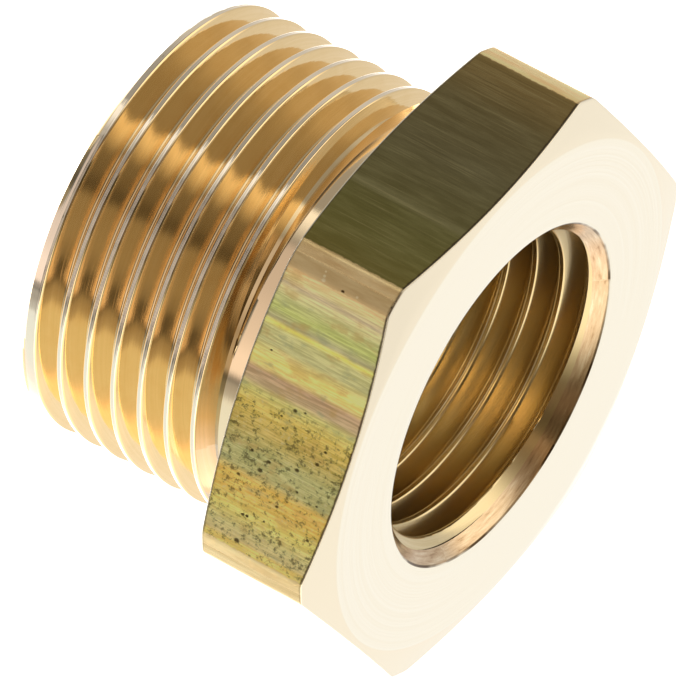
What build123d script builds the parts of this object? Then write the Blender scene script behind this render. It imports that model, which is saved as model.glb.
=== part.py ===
from build123d import *
import os
from math import cos, radians, tan

# Hex bushing in brass: a G 3/4 A male thread, a relief groove and a hexagon, turned in one
# piece from hexagon bar, with a G 1/2 female thread cut from the hexagon's side.
# Millimetres. +Z runs along the axis, from the free end of the spigot to the hexagon's face.
# The origin is the centre of the spigot's end face.

# Pipe thread form, the same for both threads: 14 turns to the inch, 55 degrees between flanks,
# with a third of the pitch left flat at the crest, so that a sharp root has the real depth.
inch = 25.4
turns_per_inch = 14
pitch = inch / turns_per_inch
flank_slope = tan(radians(55 / 2))
thread_depth = 0.640327 * pitch

# Hexagon, with a shallow turned cone at both ends
hex_across_flats = 32.0
hex_thickness = 8.0
hex_corner_radius = 1.75
hex_face_diameter = 31.1
hex_cone_angle = 15.0

# Spigot with the male thread
male_thread_diameter = 26.441
spigot_length = 15.5
spigot_end_chamfer = 0.7
male_first_root = 1.64

# Relief groove between the male thread and the hexagon
groove_depth = 1.2455
groove_bottom_width = 3.1
groove_side_angle = 30.0

# Female thread, its countersunk mouth, and the bore that runs on through the spigot
female_thread_diameter = 20.955
female_thread_length = 12.5
female_first_root = 2.1
mouth_diameter = 21.0
through_bore_diameter = 18.0
inner_end_chamfer = 0.6

# How far a cutting shape stands out of the surface that it cuts
overcut = 0.5

# Sizes that follow from those above
overall_length = spigot_length + hex_thickness
male_radius = male_thread_diameter / 2
male_root_radius = male_radius - thread_depth
female_radius = female_thread_diameter / 2
bore_radius = female_radius - thread_depth
mouth_radius = mouth_diameter / 2
through_bore_radius = through_bore_diameter / 2
groove_radius = male_radius - groove_depth
groove_start = spigot_length - groove_bottom_width
groove_side = groove_depth * tan(radians(groove_side_angle))
male_land_end = groove_start - groove_side
face_radius = hex_face_diameter / 2


def profile(points):
    """Closed face in the XZ plane from (radius, height) points."""
    return make_face(Plane.XZ * Polyline(*points, close=True))


def thread_points(land_radius, root_radius, first_root, low, high):
    """Outline of the thread from the lowest land to the highest, as (radius, height) points."""
    open_half = thread_depth * flank_slope
    points = []
    root = first_root
    while root + open_half < high:
        if root - open_half > low:
            points.append((land_radius, root - open_half))
            points.append((root_radius, root))
            points.append((land_radius, root + open_half))
        root += pitch
    return points


def turned_blank():
    """Everything but the hexagon's corners: spigot, male thread, relief groove and core."""
    outline = [(0, 0), (male_radius - spigot_end_chamfer, 0), (male_radius, spigot_end_chamfer)]
    outline += thread_points(
        male_radius, male_root_radius, male_first_root, spigot_end_chamfer, male_land_end
    )
    outline += [
        (male_radius, male_land_end),
        (groove_radius, groove_start),
        (groove_radius, spigot_length),
        (face_radius, spigot_length),
        (face_radius, overall_length),
        (0, overall_length),
    ]
    return revolve(profile(outline), Axis.Z)


def hexagon():
    """Hexagon bar with rounded corners, trimmed by the cones at its two ends."""
    outline = RegularPolygon(hex_across_flats / 2, 6, major_radius=False)
    outline = fillet(outline.vertices(), hex_corner_radius)
    bar = Pos(0, 0, spigot_length) * extrude(outline, hex_thickness)
    tip_radius = hex_across_flats / 2 / cos(radians(30))
    drop = (tip_radius - face_radius) * tan(radians(hex_cone_angle))
    envelope = [
        (0, spigot_length),
        (face_radius, spigot_length),
        (tip_radius, spigot_length + drop),
        (tip_radius, overall_length - drop),
        (face_radius, overall_length),
        (0, overall_length),
    ]
    return bar & revolve(profile(envelope), Axis.Z)


def hole():
    """The hole right through: inner end, plain bore, female thread and countersunk mouth."""
    mouth_depth = mouth_radius - bore_radius
    thread_end = overall_length - female_thread_length
    first_root = overall_length - female_first_root - pitch * int(female_thread_length / pitch)
    outline = [
        (0, -overcut),
        (through_bore_radius + inner_end_chamfer + overcut, -overcut),
        (through_bore_radius, inner_end_chamfer),
        (through_bore_radius, thread_end - bore_radius + through_bore_radius),
        (bore_radius, thread_end),
    ]
    outline += thread_points(
        bore_radius, female_radius, first_root, thread_end, overall_length - mouth_depth
    )
    outline += [
        (bore_radius, overall_length - mouth_depth),
        (mouth_radius + overcut, overall_length + overcut),
        (0, overall_length + overcut),
    ]
    return revolve(profile(outline), Axis.Z)


os.makedirs("parts", exist_ok=True)
hex_bushing = turned_blank() + hexagon() - hole()
export_step(hex_bushing, "parts/hex_bushing.step")
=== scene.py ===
import bmesh
import bpy
import math
import numpy as np
from mathutils import Matrix, Vector


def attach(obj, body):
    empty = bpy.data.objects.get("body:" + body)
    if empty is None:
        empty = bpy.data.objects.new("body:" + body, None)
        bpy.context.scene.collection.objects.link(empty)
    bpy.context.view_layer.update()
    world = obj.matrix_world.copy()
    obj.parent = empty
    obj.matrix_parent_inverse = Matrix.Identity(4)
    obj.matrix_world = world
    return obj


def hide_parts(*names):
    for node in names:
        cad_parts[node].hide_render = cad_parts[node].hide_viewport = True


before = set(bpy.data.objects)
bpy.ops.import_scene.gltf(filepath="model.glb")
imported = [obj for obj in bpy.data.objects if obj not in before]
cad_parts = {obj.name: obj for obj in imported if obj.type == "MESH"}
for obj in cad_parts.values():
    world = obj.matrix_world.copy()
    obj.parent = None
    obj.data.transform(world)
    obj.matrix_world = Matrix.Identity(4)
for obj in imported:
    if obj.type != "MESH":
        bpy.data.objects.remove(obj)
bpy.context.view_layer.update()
scene = bpy.context.scene

# Sizes are in millimetres, and MM turns them into metres.
MM = 0.001

# Thread form of both threads. It was set for looks: it is deeper than the standard form that the
# solid has, and narrower at the crest.
PITCH = 25.4 / 14
HALF_ANGLE = math.radians(27.5)
CREST_FLAT = 0.065
CREST_DIP = 0.012
CREST_DIP_WIDTH = 0.038
CREST_ROUND = 0.15
ROOT_HALF = 0.07
ROUND_REACH = CREST_ROUND * math.cos(HALF_ANGLE)
CREST_HALF = CREST_FLAT + CREST_ROUND * (
    math.cos(HALF_ANGLE) - (1 - math.sin(HALF_ANGLE)) * math.tan(HALF_ANGLE)
)
THREAD_DROP = (PITCH / 2 - CREST_HALF - ROOT_HALF) / math.tan(HALF_ANGLE)

# Hexagon
APOTHEM = 16.0
CORNER = 1.75
CORNER_RADIUS = 18.03
CORNER_BLEND = 0.045
SIDE = 2 * APOTHEM * math.tan(math.radians(30))
SHOULDER = 15.5
TOP = 23.5
FACE_RADIUS = 15.55
CONE = math.tan(math.radians(15))
EDGE_ROUND = 0.04
EDGE_TANGENT = EDGE_ROUND * math.tan(math.radians(37.5))

# Spigot: the thread runs in near the free end, and ends at a small ridge before the relief groove.
CREST = 13.05
END_RADIUS = 12.60
END_CHAMFER = 0.30
FIRST_CREST = 2.55 - PITCH * 5.5 / 360
ROOT_FLOOR = 11.7
GROOVE = 11.975
GROOVE_FILLET = 0.375
RIDGE = 12.85

# Hole
FEMALE_MINOR = 9.3158
FEMALE_END = 11.0
FEMALE_FIRST = 18.0
FEMALE_RUN_OUT = 1.73
MOUTH = 10.5
SINK_END = 9.8
BORE = 9.0
INNER_CHAMFER = 0.6

# Camera, fitted to the photograph: rotation vector, place of the origin in camera axes, and focal
# length in pixels of a picture 680 pixels wide.
CAMERA_TURN = (-0.5670283969252817, 1.8964948314096965, 0.25666596195903213)
CAMERA_PLACE = (-10.209604265049656, -7.056902865686636, 596.6624816586526)
CAMERA_AZIMUTH = math.radians(5.5)
FOCAL_PIXELS = 10668.106
PICTURE_PIXELS = 680
SENSOR = 36


# ------------------------------------------------------------------ camera
def make_camera():
    turn = Vector(CAMERA_TURN)
    back = Matrix.Rotation(turn.length, 3, turn.normalized())
    centre = -(back.transposed() @ Vector(CAMERA_PLACE))
    axes = Matrix((back[0], -back[1], -back[2])).transposed().to_4x4()
    data = bpy.data.cameras.new("camera")
    data.sensor_fit = "HORIZONTAL"
    data.sensor_width = SENSOR
    data.lens = FOCAL_PIXELS * SENSOR / PICTURE_PIXELS
    data.clip_start = 0.05
    data.clip_end = 10
    camera = bpy.data.objects.new("camera", data)
    camera.matrix_world = Matrix.Translation(centre * MM) @ axes
    scene.collection.objects.link(camera)
    scene.camera = camera


# ------------------------------------------------------------------ meshes
def soft_floor(value, width=0.02):
    """The value where it is above zero, and zero below, with a small rounding between."""
    return width * np.logaddexp(0, value / width)


def thread_drop(along):
    """How far the thread lies below its crest, by the distance from the crest along the axis.

    From the crest: a narrow flat with a slight dip, a rounded edge, a flank and a narrow root.
    """
    s = np.abs((along + PITCH / 2) % PITCH - PITCH / 2)
    u = np.clip(s - CREST_FLAT, 0, ROUND_REACH)
    rounded = CREST_ROUND - np.sqrt(CREST_ROUND ** 2 - u ** 2)
    flank = (s - CREST_HALF) / math.tan(HALF_ANGLE)
    drop = np.where(s - CREST_FLAT < ROUND_REACH, rounded, flank)
    drop = drop + CREST_DIP * np.exp(-((s / CREST_DIP_WIDTH) ** 2))
    return THREAD_DROP - soft_floor(THREAD_DROP - drop)


def run_in(z, turn):
    """How deep the male thread is cut, 0 to 1: it starts from nothing near the free end."""
    crests = np.floor((z - FIRST_CREST) / PITCH - turn + 1e-9)
    root = FIRST_CREST + PITCH * (crests + turn + 0.5)
    share = np.clip((root - 0.35) / 0.75, 0, 1)
    return share * share * (3 - 2 * share)


def ripple(angle, seed, count=40, low=9, high=170):
    """Small irregularities round a crest, about -1 to 1, the same each run."""
    rng = np.random.default_rng(seed)
    waves = rng.integers(low, high, count)
    phases = rng.uniform(0, 2 * math.pi, count)
    return np.sin(np.outer(waves, angle) + phases[:, None]).sum(0) / math.sqrt(count) / 1.5


def thread_phases():
    """Places along one pitch, from crest to crest, close together where the profile turns."""
    near = np.array([0.0, 0.028, 0.056, 0.09, 0.13, 0.165, 0.21])
    far = PITCH / 2 - np.array([ROOT_HALF + 0.05, ROOT_HALF, 0.0])
    half = np.concatenate([near, [0.5 * (near[-1] + far[0])], far])
    return np.concatenate([half, (PITCH - half[::-1])[1:-1]])


def grid_mesh(name, radius, height, angle):
    """A surface of rows round the axis, from a radius and a height for each row and angle."""
    rows, columns = radius.shape
    points = np.stack([radius * np.cos(angle), radius * np.sin(angle), height], -1)
    points = points.reshape(-1, 3) * MM
    i, j = np.meshgrid(np.arange(rows - 1), np.arange(columns - 1), indexing="ij")
    first = i * columns + j
    quads = np.stack([first, first + 1, first + columns + 1, first + columns], -1).reshape(-1, 4)
    left = np.abs(points[quads[:, 0]] - points[quads[:, 3]]).max(1)
    right = np.abs(points[quads[:, 1]] - points[quads[:, 2]]).max(1)
    faces = []
    # where rows meet, a quad is a triangle or nothing at all
    for quad, on_left, on_right in zip(quads.tolist(), left.tolist(), right.tolist()):
        if on_left + on_right < 1e-8:
            continue
        if on_left < 5e-9:
            faces.append((quad[0], quad[1], quad[2]))
        elif on_right < 5e-9:
            faces.append((quad[0], quad[1], quad[3]))
        else:
            faces.append(tuple(quad))
    mesh = bpy.data.meshes.new(name)
    mesh.from_pydata(points.tolist(), [], faces)
    mesh.validate()
    return mesh


class Rows:
    """Rows of points round the axis, each with a radius and a height for every angle."""

    def __init__(self, angle):
        self.angle, self.radius, self.height = angle, [], []

    def add(self, radius, height):
        self.radius.append(np.broadcast_to(radius, self.angle.shape).astype(float))
        self.height.append(np.broadcast_to(height, self.angle.shape).astype(float))

    def mesh(self, name, sharp):
        """The rows as a smooth mesh, closed where first and last angle meet."""
        mesh = grid_mesh(name, np.array(self.radius), np.array(self.height), self.angle)
        b = bmesh.new()
        b.from_mesh(mesh)
        bmesh.ops.remove_doubles(b, verts=b.verts, dist=2e-8)
        b.to_mesh(mesh)
        b.free()
        mesh.shade_smooth()
        mesh.set_sharp_from_angle(angle=math.radians(sharp))
        return mesh


def put(name, mesh, material):
    place_attribute(mesh)
    o = bpy.data.objects.new(name, mesh)
    scene.collection.objects.link(o)
    mesh.materials.append(material)
    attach(o, "root")
    return o


def spigot_mesh():
    """The spigot: end face, male thread, relief groove and its corner with the shoulder."""
    angle = np.linspace(0, 2 * math.pi, 601)
    turn = angle / (2 * math.pi)
    rows = Rows(angle)

    def thread(z):
        drop = thread_drop(z - FIRST_CREST - PITCH * turn) * run_in(z, turn)
        body = CREST - np.maximum(drop, 0.003 + 0.002 * ripple(angle, 3))
        # the root rises to the depth of the relief groove where it runs out into it
        floor = ROOT_FLOOR + (GROOVE - ROOT_FLOOR) * np.clip((z - 11.3) / 0.8, 0, 1)
        return np.maximum(body, floor)

    def turned(z):
        return END_RADIUS + (CREST - END_RADIUS) / END_CHAMFER * z

    # end face, from the inner chamfer to the rim
    rim = np.minimum(thread(np.zeros(angle.shape)), turned(0.0))
    inner = BORE + INNER_CHAMFER
    for share in (0.0, 0.03, 0.35, 0.7, 0.97, 1.0):
        rows.add(inner + (rim - inner) * share, 0.0)
    phases = thread_phases()
    for k in range(-3, 8):
        for s in phases:
            z = FIRST_CREST + PITCH * (k + turn) + s
            if z.max() <= 0.0 or z.min() >= RIDGE:
                continue
            z = np.clip(z, 0.0, RIDGE)
            rows.add(np.minimum(thread(z), turned(z)), z)
    ridge = thread(np.full(angle.shape, RIDGE))
    rows.add(ridge, RIDGE)
    rows.add(GROOVE + (ridge - GROOVE) * 0.1, RIDGE + 0.05)
    rows.add(GROOVE, RIDGE + 0.08)
    for z in (13.1, 13.6, 14.7):
        rows.add(GROOVE, z)
    for a in np.linspace(0, math.pi / 2, 7):
        rows.add(
            GROOVE + GROOVE_FILLET * (1 - math.cos(a)), SHOULDER - GROOVE_FILLET * (1 - math.sin(a))
        )
    return rows.mesh("spigot", 30)


def hexagon_angles(per_flat=50, per_corner=24):
    """Angles round the hexagon, closer together at its corners, first and last the same place."""
    thirty = math.radians(30)
    touch = 1.5 * math.atan2(
        CORNER * math.sin(thirty),
        (APOTHEM - CORNER) / math.cos(thirty) + CORNER * math.cos(thirty),
    )
    out = []
    for k in range(6):
        middle = math.radians(60 * k)
        out += list(middle + np.linspace(-touch, touch, per_corner, endpoint=False))
        flat = np.linspace(touch, math.radians(60) - touch, per_flat, endpoint=False)
        out += list(middle + flat)
    return np.array(out + [out[0] + 2 * math.pi])


def hexagon_radius(angle):
    """Radius of the hexagon's sides: the corners are turned down to a narrow land."""
    beta = (angle + math.radians(30)) % math.radians(60) - math.radians(30)
    flat = APOTHEM / np.cos(math.radians(30) - np.abs(beta))
    return -CORNER_BLEND * np.log(np.exp((flat - CORNER_RADIUS) / CORNER_BLEND) + 1) + flat


def head_mesh():
    """The hexagon: shoulder, back cone, flats, front cone, face and countersunk mouth."""
    angle = hexagon_angles()
    edge = hexagon_radius(angle)
    rows = Rows(angle)

    def cone_radius(share):
        reach = edge - EDGE_TANGENT * math.cos(math.radians(15)) - FACE_RADIUS - 0.1
        return FACE_RADIUS + 0.1 + reach * share

    def rounded_edge(centre, start, end):
        for a in np.radians(np.linspace(start, end, 6)):
            rows.add(edge - EDGE_ROUND + EDGE_ROUND * math.cos(a), centre + EDGE_ROUND * math.sin(a))

    for r in (GROOVE + GROOVE_FILLET, 13.0, 14.2, 15.2, FACE_RADIUS - 0.1):
        rows.add(r, SHOULDER)
    rows.add(FACE_RADIUS, SHOULDER + 0.007)
    rows.add(FACE_RADIUS + 0.1, SHOULDER + 0.1 * CONE)
    for share in (0.35, 0.7, 0.95):
        r = cone_radius(share)
        rows.add(r, SHOULDER + (r - FACE_RADIUS) * CONE)
    low = SHOULDER + (edge - FACE_RADIUS) * CONE + EDGE_TANGENT
    high = TOP - (edge - FACE_RADIUS) * CONE - EDGE_TANGENT
    rounded_edge(low, -75, 0)
    for share in np.linspace(0, 1, 34)[1:-1]:
        rows.add(edge, low + (high - low) * share)
    rounded_edge(high, 0, 75)
    for share in (0.95, 0.7, 0.35, 0.0):
        r = cone_radius(share)
        rows.add(r, TOP - (r - FACE_RADIUS) * CONE)
    rows.add(FACE_RADIUS, TOP - 0.007)
    for r in (FACE_RADIUS - 0.1, 14.5, 13.2, 12.0, 11.2, MOUTH + 0.1):
        rows.add(r, TOP)
    rows.add(MOUTH + 0.02, TOP - 0.02)
    rows.add(MOUTH - 0.1, TOP - 0.12)
    for r in (10.1, SINK_END):
        rows.add(r, TOP - (MOUTH - r) - 0.02)
    return rows.mesh("head", 40)


def bore_mesh():
    """The hole: female thread, plain bore and inner chamfer, from the countersink down."""
    angle = np.linspace(0, 2 * math.pi, 541)
    turn = angle / (2 * math.pi)
    rows = Rows(angle)
    top = TOP - (MOUTH - SINK_END) - 0.02

    def wall(z):
        thread = FEMALE_MINOR + thread_drop(z - FEMALE_FIRST - PITCH * turn)
        run_out = FEMALE_MINOR + np.maximum(0, z - FEMALE_END) * FEMALE_RUN_OUT
        return np.maximum(np.minimum(thread, run_out), MOUTH - (TOP - z) + 0.02)

    phases = thread_phases()
    for k in range(5, -7, -1):
        for s in phases[::-1]:
            z = np.clip(FEMALE_FIRST + PITCH * (k + turn) + s, FEMALE_END, top)
            if z.max() <= FEMALE_END or z.min() >= top:
                continue
            rows.add(wall(z), z)
    rows.add(FEMALE_MINOR, FEMALE_END)
    rows.add(BORE, FEMALE_END - FEMALE_MINOR + BORE)
    for z in (8.0, 5.0, 2.0, INNER_CHAMFER):
        rows.add(BORE, z)
    rows.add(BORE + INNER_CHAMFER, 0.0)
    return rows.mesh("bore", 30)


# ------------------------------------------------------------------ node trees
class Graph:
    """Short names for building a node tree."""

    def __init__(self, tree):
        self.nodes, self.links = tree.nodes, tree.links

    def feed(self, socket, value):
        if isinstance(value, bpy.types.NodeSocket):
            self.links.new(value, socket)
        elif value is not None:
            socket.default_value = value

    def math(self, operation, a, b=None, c=None):
        node = self.nodes.new("ShaderNodeMath")
        node.operation = operation
        for socket, value in zip(node.inputs, (a, b, c)):
            self.feed(socket, value)
        return node.outputs[0]

    def add(self, a, b):
        return self.math("ADD", a, b)

    def sub(self, a, b):
        return self.math("SUBTRACT", a, b)

    def mul(self, a, b):
        return self.math("MULTIPLY", a, b)

    def step(self, value, low, high):
        """0 at low and 1 at high, with a smooth rise between."""
        node = self.nodes.new("ShaderNodeMapRange")
        node.interpolation_type = "SMOOTHSTEP"
        self.feed(node.inputs["Value"], value)
        self.feed(node.inputs["From Min"], low)
        self.feed(node.inputs["From Max"], high)
        return node.outputs[0]

    def ramp(self, value, stops):
        node = self.nodes.new("ShaderNodeValToRGB")
        elements = node.color_ramp.elements
        while len(elements) < len(stops):
            elements.new(0.5)
        for element, (place, colour) in zip(elements, stops):
            element.position = place
            element.color = (*colour, 1)
        self.feed(node.inputs[0], value)
        return node.outputs[0]

    def mix(self, share, a, b, blend="MIX"):
        node = self.nodes.new("ShaderNodeMix")
        node.data_type = "RGBA"
        node.blend_type = blend
        node.clamp_result = False
        self.feed(node.inputs[0], share)
        self.feed(node.inputs[6], a)
        self.feed(node.inputs[7], b)
        return node.outputs[2]

    def times(self, colour, factor):
        """A colour multiplied by another."""
        return self.mix(1.0, colour, factor, "MULTIPLY")

    def combine(self, x, y, z=0.0):
        node = self.nodes.new("ShaderNodeCombineXYZ")
        for socket, value in zip(node.inputs, (x, y, z)):
            self.feed(socket, value)
        return node.outputs[0]

    def noise(self, vector, scale=1.0, detail=2.0, rough=0.5):
        node = self.nodes.new("ShaderNodeTexNoise")
        self.feed(node.inputs["Vector"], vector)
        node.inputs["Scale"].default_value = scale
        node.inputs["Detail"].default_value = detail
        node.inputs["Roughness"].default_value = rough
        return node.outputs["Fac"]

    def bump(self, height, distance, strength):
        node = self.nodes.new("ShaderNodeBump")
        node.inputs["Strength"].default_value = strength
        node.inputs["Distance"].default_value = distance
        self.feed(node.inputs["Height"], height)
        return node.outputs[0]

    def spot(self, p, z, place, height, size):
        """1 in a small round spot on the hexagon's sides, and 0 outside it."""
        delta = self.nodes.new("ShaderNodeVectorMath")
        delta.operation = "DISTANCE"
        self.feed(delta.inputs[0], self.combine(p, self.mul(z, 0.75)))
        delta.inputs[1].default_value = (place, height * 0.75, 0)
        return self.step(delta.outputs["Value"], size * 0.85, size * 0.35)


def place_attribute(mesh):
    """Gives each point its place: along the hexagon's sides from the +X corner, height, radius."""
    points = np.zeros(len(mesh.vertices) * 3)
    mesh.vertices.foreach_get("co", points)
    x, y, z = points.reshape(-1, 3).T / MM
    side = np.floor(np.arctan2(y, x) / math.radians(60))
    normal = np.radians(60 * side + 30)
    along = -x * np.sin(normal) + y * np.cos(normal)
    place = np.stack([SIDE * (side + 0.5) + along, z, np.hypot(x, y)], -1)
    mesh.attributes.new("place", "FLOAT_VECTOR", "POINT").data.foreach_set("vector", place.ravel())


def new_material(name):
    """A material, its graph and its shader."""
    material = bpy.data.materials.new(name)
    material.use_nodes = True
    g = Graph(material.node_tree)
    return material, g, g.nodes["Principled BSDF"]


def new_brass(name):
    """A metal, its graph and shader, and the parts of each point's place."""
    material, g, shader = new_material(name)
    shader.inputs["Metallic"].default_value = 1
    node = g.nodes.new("ShaderNodeAttribute")
    node.attribute_name = "place"
    parts = g.nodes.new("ShaderNodeSeparateXYZ")
    g.links.new(node.outputs["Vector"], parts.inputs[0])
    return material, g, shader, parts.outputs


# ------------------------------------------------------------------ materials
# Pits on flat B: place along the sides, height, size
SPOTS = [
    (10.67, 21.51, 0.16), (9.80, 21.76, 0.13), (11.89, 18.73, 0.15), (12.58, 18.36, 0.19),
    (11.53, 20.47, 0.17), (12.69, 20.86, 0.11), (12.90, 22.24, 0.10), (14.03, 19.98, 0.13),
    (15.40, 18.18, 0.14), (15.37, 18.45, 0.12), (15.19, 19.52, 0.09), (14.95, 22.34, 0.14),
    (16.95, 18.31, 0.20), (11.71, 17.55, 0.12), (5.92, 16.83, 0.10), (13.38, 17.20, 0.14),
    (8.45, 19.29, 0.16), (8.30, 19.90, 0.10), (9.70, 18.90, 0.09), (9.10, 18.60, 0.10),
]

# Marks on the corner's land: place along the sides, height, size, colour
MARKS = [
    (0.86, 18.50, 0.15, (1.00, 0.84, 0.48, 1)), (0.66, 18.44, 0.11, (1.00, 0.84, 0.48, 1)),
    (0.44, 18.38, 0.08, (1.00, 0.82, 0.46, 1)), (0.92, 19.80, 0.13, (0.10, 0.06, 0.02, 1)),
    (0.84, 20.70, 0.10, (1.00, 0.82, 0.46, 1)), (0.50, 22.80, 0.12, (0.12, 0.07, 0.03, 1)),
    (0.10, 15.80, 0.24, (1.00, 0.86, 0.56, 1)), (-0.25, 15.76, 0.16, (1.00, 0.86, 0.56, 1)),
]

# Flat A, dark olive to brown, and flat B, the stained one: share of the flat's width, colour
OLIVE = [
    (0.00, (0.37, 0.24, 0.080)), (0.12, (0.33, 0.22, 0.080)), (0.24, (0.24, 0.18, 0.075)),
    (0.45, (0.23, 0.185, 0.085)), (0.64, (0.225, 0.185, 0.070)), (0.672, (0.34, 0.29, 0.13)),
    (0.69, (0.235, 0.20, 0.065)), (0.82, (0.26, 0.22, 0.065)), (1.0, (0.29, 0.22, 0.055)),
]
STAINS = [
    (0.000, (0.62, 0.42, 0.25)), (0.060, (0.66, 0.50, 0.30)), (0.085, (0.60, 0.56, 0.33)),
    (0.105, (0.48, 0.42, 0.32)), (0.120, (0.60, 0.58, 0.36)), (0.150, (0.44, 0.48, 0.25)),
    (0.190, (0.42, 0.50, 0.19)), (0.225, (0.36, 0.36, 0.24)), (0.238, (0.72, 0.70, 0.20)),
    (0.252, (0.46, 0.48, 0.25)), (0.300, (0.44, 0.46, 0.26)), (0.345, (0.72, 0.64, 0.24)),
    (0.372, (0.66, 0.58, 0.24)), (0.392, (0.40, 0.28, 0.20)), (0.430, (0.42, 0.34, 0.23)),
    (0.455, (0.50, 0.50, 0.20)), (0.500, (0.56, 0.45, 0.12)), (0.570, (0.44, 0.36, 0.11)),
    (0.640, (0.38, 0.40, 0.20)), (0.700, (0.40, 0.40, 0.20)), (0.730, (0.66, 0.46, 0.12)),
    (0.770, (0.62, 0.44, 0.12)), (0.830, (0.60, 0.54, 0.18)), (0.880, (0.48, 0.46, 0.24)),
    (0.915, (0.50, 0.44, 0.24)), (0.925, (0.62, 0.50, 0.17)), (1.000, (0.66, 0.52, 0.19)),
]
# These factors make up for dark light from the side of each flat, and take some of the stains
# above 1, which no real surface reaches.
OLIVE_FACTOR = (1.12, 1.12, 1.04, 1)
STAINS_FACTOR = (2.10, 1.93, 1.42, 1)


def olive_colour(g, p, z, share, wander, lines_wide):
    """Flat A, with drawn lines and scratches."""
    colour = g.ramp(g.add(share, g.mul(wander, 0.04)), OLIVE)
    darker = g.mix(0.16, colour, (0, 0, 0, 1))
    lighter = g.mix(0.05, colour, (1, 0.95, 0.6, 1))
    colour = g.mix(g.step(lines_wide, 0.35, 0.75), darker, lighter)
    scratches = g.noise(g.combine(g.mul(p, 13.0), g.mul(z, 0.13), 17.0), 1.0, 3.0, 0.7)
    bright = g.mul(g.step(scratches, 0.56, 0.68), 0.35)
    dark = g.mul(g.step(scratches, 0.42, 0.32), 0.35)
    colour = g.mix(bright, colour, (0.55, 0.44, 0.22, 1))
    colour = g.mix(dark, colour, (0.08, 0.06, 0.02, 1))
    return g.times(colour, OLIVE_FACTOR)


def stained_colour(g, p, z, share, wander, lines_fine, blotch):
    """Flat B, with its stains, blotches and pits, and painted highlights in its pitted zone. Also
    gives the masks of pits and mottling.
    """
    place = g.add(share, g.mul(wander, 0.030))
    colour = g.times(g.ramp(place, STAINS), STAINS_FACTOR)
    darker = g.mix(0.30, colour, (0.05, 0.04, 0.02, 1))
    lighter = g.mix(0.14, colour, (1, 0.95, 0.7, 1))
    colour = g.mix(g.step(lines_fine, 0.38, 0.66), darker, lighter)
    colour = g.mix(g.mul(g.step(blotch, 0.52, 0.68), 0.45), colour, (0.66, 0.42, 0.12, 1))
    colour = g.mix(g.mul(g.step(blotch, 0.44, 0.30), 0.45), colour, (0.40, 0.44, 0.24, 1))
    rough_zone = g.step(place, 0.43, 0.50)
    speckle = g.noise(g.combine(p, g.mul(z, 0.8), 7.0), 3.2, 5.0, 0.7)
    mottle = g.mul(rough_zone, g.step(speckle, 0.49, 0.36))
    colour = g.mix(g.mul(mottle, 0.72), colour, (0.10, 0.08, 0.03, 1))
    # painted highlights: pale speckles among the dark ones in the pitted zone
    pale = g.mul(rough_zone, g.step(speckle, 0.58, 0.70))
    colour = g.mix(g.mul(pale, 0.5), colour, (0.85, 0.76, 0.42, 1))
    pits = None
    for spot in SPOTS:
        one = g.spot(p, z, *spot)
        pits = one if pits is None else g.math("MAXIMUM", pits, one)
    colour = g.mix(g.mul(pits, 0.88), colour, (0.05, 0.03, 0.01, 1))
    return colour, pits, mottle


def land_colour(g, p, z, lines_wide):
    """The narrow lands at the hexagon's corners, lighter on one side with painted light."""
    colour = g.mix(g.step(lines_wide, 0.3, 0.7), (0.76, 0.52, 0.22, 1), (0.93, 0.70, 0.34, 1))
    # painted light: the lands on one side, from the far corner of flat A on, are made lighter
    colour = g.mix(g.step(p, -10.0, -12.0), colour, g.times(colour, (1.28, 1.22, 1.16, 1)))
    for place, height, size, tone in MARKS:
        colour = g.mix(g.spot(p, z, place, height, size), colour, tone)
    return colour


def face_colour(g, p, z, r, rings):
    """The turned face and cones with a painted highlight, the cones and countersink darker with
    painted shade, and a dark broken line at the mouth, partly burr and partly painted shadow.
    """
    # painted highlight: the face is a pale cream, paler than the thread's brass; the rings are
    # turning marks
    colour = g.mix(g.step(rings, 0.3, 0.7), (0.94, 0.86, 0.69, 1), (0.96, 0.89, 0.74, 1))
    # painted shade: below the front face, the cones and the shoulder are a little darker and warmer
    colour = g.mix(g.step(z, TOP - 0.01, TOP - 0.04), colour, (0.94, 0.83, 0.63, 1))
    # the countersink: streaked, and darker than the face as painted shade of the mouth
    streaks = g.noise(g.combine(g.mul(p, 0.55), g.mul(r, 5.0), 21.0), 1.0, 4.0, 0.65)
    sink = g.ramp(streaks, [
        (0.30, (0.40, 0.25, 0.13)), (0.42, (0.62, 0.44, 0.27)),
        (0.55, (0.72, 0.54, 0.35)), (0.70, (0.84, 0.68, 0.48)),
    ])
    colour = g.mix(g.step(r, MOUTH + 0.01, MOUTH - 0.03), colour, sink)
    # a dark broken line at the mouth, partly a burr and partly painted shadow
    rim = g.mul(g.step(r, MOUTH - 0.10, MOUTH - 0.05), g.step(r, MOUTH + 0.08, MOUTH + 0.03))
    broken = g.noise(g.combine(g.mul(p, 0.22), 5.0, 2.0), 1.0, 3.0, 0.6)
    return g.mix(g.mul(rim, g.step(broken, 0.40, 0.60)), colour, (0.12, 0.07, 0.03, 1))


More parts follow.
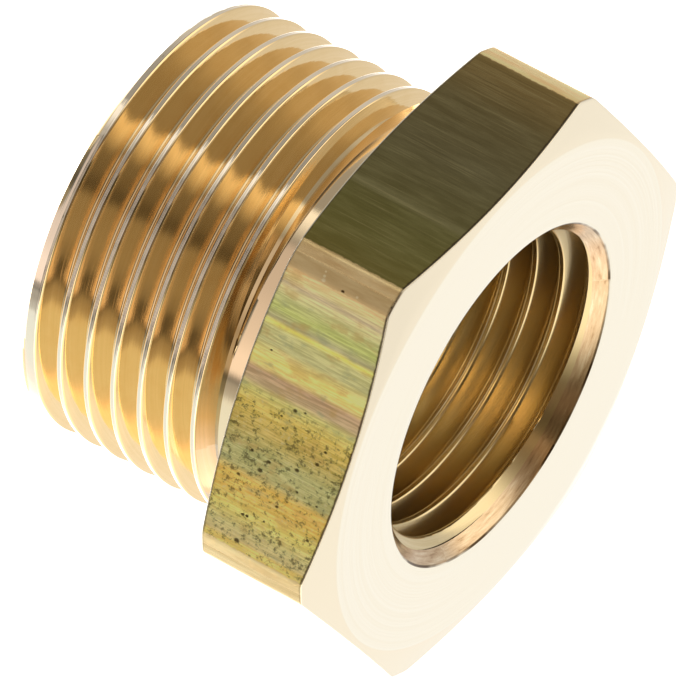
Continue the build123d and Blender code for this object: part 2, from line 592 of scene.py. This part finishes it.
def head_material():
    """Drawn flats with their tarnish, stains and pits, and turned faces made pale by a painted
    highlight.
    """
    material, g, shader, (p, z, r) = new_brass("brass_hexagon")
    # masks: the flats and lands between the two cones, and single flats
    side_top = g.mul(g.sub(r, FACE_RADIUS), CONE)
    below_top = g.step(g.sub(g.sub(TOP - 0.05, side_top), z), -0.02, 0.04)
    above_low = g.step(g.sub(z, g.add(SHOULDER + 0.05, side_top)), -0.02, 0.04)
    is_side = g.mul(below_top, above_low)
    is_side = g.mul(is_side, g.step(r, FACE_RADIUS + 0.3, FACE_RADIUS + 0.4))
    share = g.math("FRACT", g.math("DIVIDE", g.add(p, 6 * SIDE), SIDE))
    from_middle = g.math("ABSOLUTE", g.sub(share, 0.5))
    wobble = g.math("MULTIPLY_ADD", g.noise(g.combine(0.0, z, p), 2.3, 3.0, 0.6), 0.012, -0.006)
    is_land = g.step(g.add(from_middle, wobble), 0.4425, 0.4475)
    is_b = g.mul(g.step(p, -0.01, 0.01), g.step(p, SIDE + 0.01, SIDE - 0.01))
    is_a = g.mul(g.step(p, -SIDE - 0.01, -SIDE + 0.01), g.step(p, 0.01, -0.01))
    # patterns: drawn lines run along the axis
    wander = g.noise(g.combine(g.mul(p, 0.35), g.mul(z, 0.22)), 1.0, 3.0)
    wander = g.math("MULTIPLY_ADD", wander, 0.5, -0.25)
    lines_fine = g.noise(g.combine(g.mul(p, 8.0), g.mul(z, 0.42)), 1.0, 4.0, 0.65)
    lines_wide = g.noise(g.combine(g.mul(p, 2.2), g.mul(z, 0.26), 3.0), 1.0, 4.0, 0.6)
    blotch = g.noise(g.combine(g.mul(p, 0.9), g.mul(z, 0.45), 11.0), 1.0, 4.0, 0.6)
    rings = g.noise(g.combine(g.mul(r, 14.0), g.mul(p, 0.02)), 1.0, 2.0)
    # the flats: A, B, and the others in drawn brass with a little tarnish
    olive = olive_colour(g, p, z, share, wander, lines_wide)
    stained, pits, mottle = stained_colour(g, p, z, share, wander, lines_fine, blotch)
    other = g.mix(g.step(lines_wide, 0.3, 0.7), (0.62, 0.46, 0.22, 1), (0.80, 0.62, 0.32, 1))
    other = g.mix(g.mul(g.step(blotch, 0.48, 0.66), 0.5), other, (0.50, 0.47, 0.24, 1))
    side = g.mix(is_a, g.mix(is_b, other, stained), olive)
    side = g.mix(is_land, side, land_colour(g, p, z, lines_wide))
    # a dark ragged line along the edges where the flats meet the cones
    from_top = g.sub(TOP - 0.05, g.add(z, side_top))
    from_low = g.sub(g.sub(z, SHOULDER), side_top)
    ragged = g.noise(g.combine(g.mul(p, 1.6), 31.0, g.mul(z, 0.3)), 1.0, 5.0, 0.75)
    upper = g.step(g.sub(from_top, g.mul(ragged, 0.26)), 0.02, -0.06)
    lower = g.mul(g.step(g.sub(from_low, g.mul(ragged, 0.30)), 0.02, -0.06), 0.6)
    line = g.mul(g.math("MAXIMUM", upper, lower), g.sub(0.85, g.mul(is_land, 0.5)))
    side = g.mix(line, side, (0.09, 0.055, 0.025, 1))
    g.links.new(g.mix(is_side, face_colour(g, p, z, r, rings), side), shader.inputs["Base Color"])
    rough = g.add(g.add(g.mul(is_side, 0.06), 0.20), g.mul(g.mul(is_side, is_b), 0.10))
    g.links.new(rough, shader.inputs["Roughness"])
    height = g.mul(is_side, g.add(g.mul(lines_fine, 0.6), g.mul(lines_wide, 0.4)))
    pit_depth = g.mul(g.mul(is_b, is_side), g.add(pits, g.mul(mottle, 0.5)))
    ring_height = g.mul(g.mul(rings, 0.12), g.sub(1.0, is_side))
    height = g.add(g.sub(height, pit_depth), ring_height)
    g.links.new(g.bump(height, 0.00003, 0.6), shader.inputs["Normal"])
    return material


def thread_material():
    """Turned brass of the male thread, with fine tool lines, a painted highlight on the crests, a
    paler relief groove as painted reflection, and painted shade on the run-out.
    """
    material, g, shader, (p, z, r) = new_brass("brass_thread")
    lines = g.noise(g.combine(g.mul(g.add(r, z), 16.0), g.mul(p, 0.05)), 1.0, 3.0, 0.6)
    patches = g.noise(g.combine(p, z, r), 0.8, 4.0, 0.6)
    colour = g.mix(g.step(lines, 0.35, 0.7), (0.91, 0.67, 0.345, 1), (0.95, 0.71, 0.39, 1))
    colour = g.mix(g.mul(g.step(patches, 0.45, 0.7), 0.25), colour, (0.86, 0.59, 0.27, 1))
    # painted highlight: a pale band along the crests
    colour = g.mix(g.step(r, CREST - 0.022, CREST - 0.008), colour, (1.0, 0.84, 0.62, 1))
    # painted reflection: the relief groove is paler, standing in for the lighter light it reflects
    colour = g.mix(g.step(z, RIDGE, RIDGE + 0.06), colour, (1.0, 0.76, 0.46, 1))
    # painted shade: the last turn is darker where it runs out into the relief groove, by an amount
    # that changes round the part, with a painted bluish tint on one side
    run_out = g.mul(g.step(z, 11.70, 11.85), g.step(z, RIDGE + 0.02, RIDGE))
    run_out = g.mul(run_out, g.step(r, CREST - 0.02, CREST - 0.10))
    run_out_shade = g.ramp(g.math("DIVIDE", p, SIDE), [
        (0.30, (1, 1, 1)), (0.42, (0.50, 0.46, 0.38)), (0.62, (0.50, 0.46, 0.36)),
        (0.72, (0.66, 0.57, 0.42)), (0.90, (0.86, 0.92, 1.25)),
    ])
    colour = g.mix(run_out, colour, g.times(colour, run_out_shade))
    g.links.new(colour, shader.inputs["Base Color"])
    shader.inputs["Roughness"].default_value = 0.07
    g.links.new(g.bump(lines, 0.000012, 0.25), shader.inputs["Normal"])
    return material


def bore_material():
    """Turned brass of the hole, darker than the thread's brass as painted shade."""
    material, g, shader, (p, z, r) = new_brass("brass_bore")
    lines = g.noise(g.combine(g.mul(g.sub(r, z), 16.0), g.mul(p, 0.05)), 1.0, 3.0, 0.6)
    # painted shade: the hole's brass is darker than the thread's
    colour = g.mix(g.step(lines, 0.35, 0.7), (0.68, 0.54, 0.30, 1), (0.74, 0.60, 0.36, 1))
    g.links.new(colour, shader.inputs["Base Color"])
    shader.inputs["Roughness"].default_value = 0.22
    g.links.new(g.bump(lines, 0.00001, 0.15), shader.inputs["Normal"])
    return material


# ------------------------------------------------------------------ stage and light
def make_stage():
    mesh = bpy.data.meshes.new("floor")
    s = 1.5
    mesh.from_pydata([(-s, -s, 0), (s, -s, 0), (s, s, 0), (-s, s, 0)], [], [(0, 1, 2, 3)])
    floor = bpy.data.objects.new("floor", mesh)
    floor.location.z = -0.00002
    scene.collection.objects.link(floor)
    material, _, shader = new_material("floor")
    shader.inputs["Base Color"].default_value = (0.9, 0.9, 0.9, 1)
    shader.inputs["Roughness"].default_value = 0.9
    shader.inputs["Emission Color"].default_value = (1, 1, 1, 1)
    shader.inputs["Emission Strength"].default_value = 0.9
    mesh.materials.append(material)
    floor.visible_glossy = False


def grey(level):
    return (level, level, level)


# Light from low down: share of the way round, where 0.5 is the camera's side, and level. The
# levels were adjusted until the reflections in the male thread came close to the photograph's.
LOW_LEVELS = [
    (0.000, 1.80), (0.030, 1.30), (0.055, 0.75), (0.080, 0.42), (0.106, 0.30), (0.139, 0.23),
    (0.165, 0.22), (0.200, 0.24), (0.239, 0.225), (0.272, 0.165), (0.306, 0.138), (0.383, 0.132),
    (0.389, 0.44), (0.405, 0.40), (0.427, 0.24), (0.447, 0.090), (0.490, 0.070), (0.500, 0.048),
    (0.518, 0.048), (0.528, 0.130), (0.600, 0.142), (0.630, 0.110), (0.646, 0.052), (0.668, 0.052),
    (0.680, 0.15), (0.700, 0.20), (0.712, 0.33), (0.800, 0.36), (0.840, 0.42), (0.870, 0.56),
    (0.910, 0.92), (1.000, 1.60),
]
LOW_TINTS = [
    (0.69, (1, 1, 1)), (0.72, (1.0, 1.12, 1.20)), (0.79, (1.0, 1.12, 1.20)),
    (0.86, (1.0, 0.96, 0.98)),
]
# A band low down on the camera's side, which upright surfaces reflect
BAND_COLOURS = [
    (0.440, (0.22, 0.20, 0.20)), (0.470, (0.235, 0.213, 0.213)), (0.520, (0.25, 0.226, 0.226)),
    (0.556, (0.29, 0.262, 0.262)), (0.600, (0.33, 0.298, 0.298)), (0.630, (0.40, 0.361, 0.361)),
    (1.0, (0.40, 0.361, 0.361)),
]
# Light from overhead: bands across the ceiling, by the sideways direction
DIM, WARM, GLOW = (0.13, 0.10, 0.05), (0.34, 0.24, 0.14), (0.90, 0.63, 0.36)
OVER_COLOURS = [
    (0.00, (0.62, 0.58, 0.50)), (0.24, (0.62, 0.58, 0.50)), (0.30, (0.50, 0.40, 0.28)),
    (0.355, WARM), (0.380, WARM), (0.393, GLOW), (0.425, GLOW), (0.440, DIM), (0.525, DIM),
    (0.555, WARM), (0.635, WARM), (0.650, DIM), (0.668, DIM), (0.676, (0.62, 0.54, 0.36)),
    (0.73, (0.66, 0.60, 0.46)), (0.78, (0.64, 0.60, 0.52)),
]
# Light from behind the object, by the sideways direction
BEHIND_COLOURS = [
    (0.10, grey(0.26)), (0.34, grey(0.34)), (0.40, grey(0.41)), (0.74, grey(0.41)),
    (0.84, (0.62, 0.56, 0.50)),
]


def make_world():
    """A banded background, turned so that x lies along the camera's azimuth."""
    world = bpy.data.worlds.new("studio")
    world.use_nodes = True
    scene.world = world
    g = Graph(world.node_tree)
    coordinates = g.nodes.new("ShaderNodeTexCoord")
    turn = g.nodes.new("ShaderNodeMapping")
    turn.inputs["Rotation"].default_value = (0, 0, -CAMERA_AZIMUTH)
    g.links.new(coordinates.outputs["Generated"], turn.inputs[0])
    axes = g.nodes.new("ShaderNodeSeparateXYZ")
    g.links.new(turn.outputs[0], axes.inputs[0])
    x, y, z = axes.outputs
    sideways = g.math("MULTIPLY_ADD", y, 0.5, 0.5)
    middle = g.ramp(g.math("ABSOLUTE", y), [(0.45, grey(0.24)), (0.62, grey(1))])
    over = g.times(g.ramp(sideways, OVER_COLOURS), middle)

    around = g.math("DIVIDE", g.math("ARCTAN2", y, x), 2 * math.pi)
    around = g.add(around, 0.5)
    low = g.ramp(around, [(place, grey(level)) for place, level in LOW_LEVELS])
    low = g.times(low, g.ramp(around, LOW_TINTS))
    # near the horizon, darker on the camera's side and a pale glow on the far side
    shade = g.mul(g.step(around, 0.20, 0.26), g.step(around, 0.690, 0.665))
    shade = g.mul(g.step(z, -0.16, -0.08), shade)
    low = g.mix(g.mul(shade, 0.70), low, (0, 0, 0, 1))
    glow = g.add(g.step(around, 0.665, 0.70), g.step(around, 0.16, 0.12))
    glow = g.mul(glow, g.step(z, -0.16, -0.04))
    low = g.mix(glow, low, (0.95, 0.90, 0.78, 1))
    band = g.mul(g.step(z, -0.56, -0.47), g.step(z, -0.22, -0.31))
    band = g.mul(band, g.mul(g.step(around, 0.438, 0.455), g.step(around, 0.675, 0.655)))
    low = g.mix(band, low, g.ramp(around, BAND_COLOURS))

    colour = g.mix(g.step(z, 0.05, 0.45), low, over)
    behind = g.mul(g.step(x, -0.35, -0.62), g.step(z, -0.4, -0.1))
    colour = g.mix(behind, colour, g.ramp(sideways, BEHIND_COLOURS))
    seen = g.nodes.new("ShaderNodeLightPath")
    colour = g.mix(seen.outputs["Is Camera Ray"], colour, (0.5, 0.5, 0.5, 1))
    background = g.nodes["Background"]
    g.links.new(colour, background.inputs["Color"])
    background.inputs["Strength"].default_value = 2.5


scene.view_settings.view_transform = "Standard"
make_camera()
spigot = put("hex_bushing_thread", spigot_mesh(), thread_material())
head = put("hex_bushing_head", head_mesh(), head_material())
bore = put("hex_bushing_bore", bore_mesh(), bore_material())
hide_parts("hex_bushing")
make_stage()
make_world()
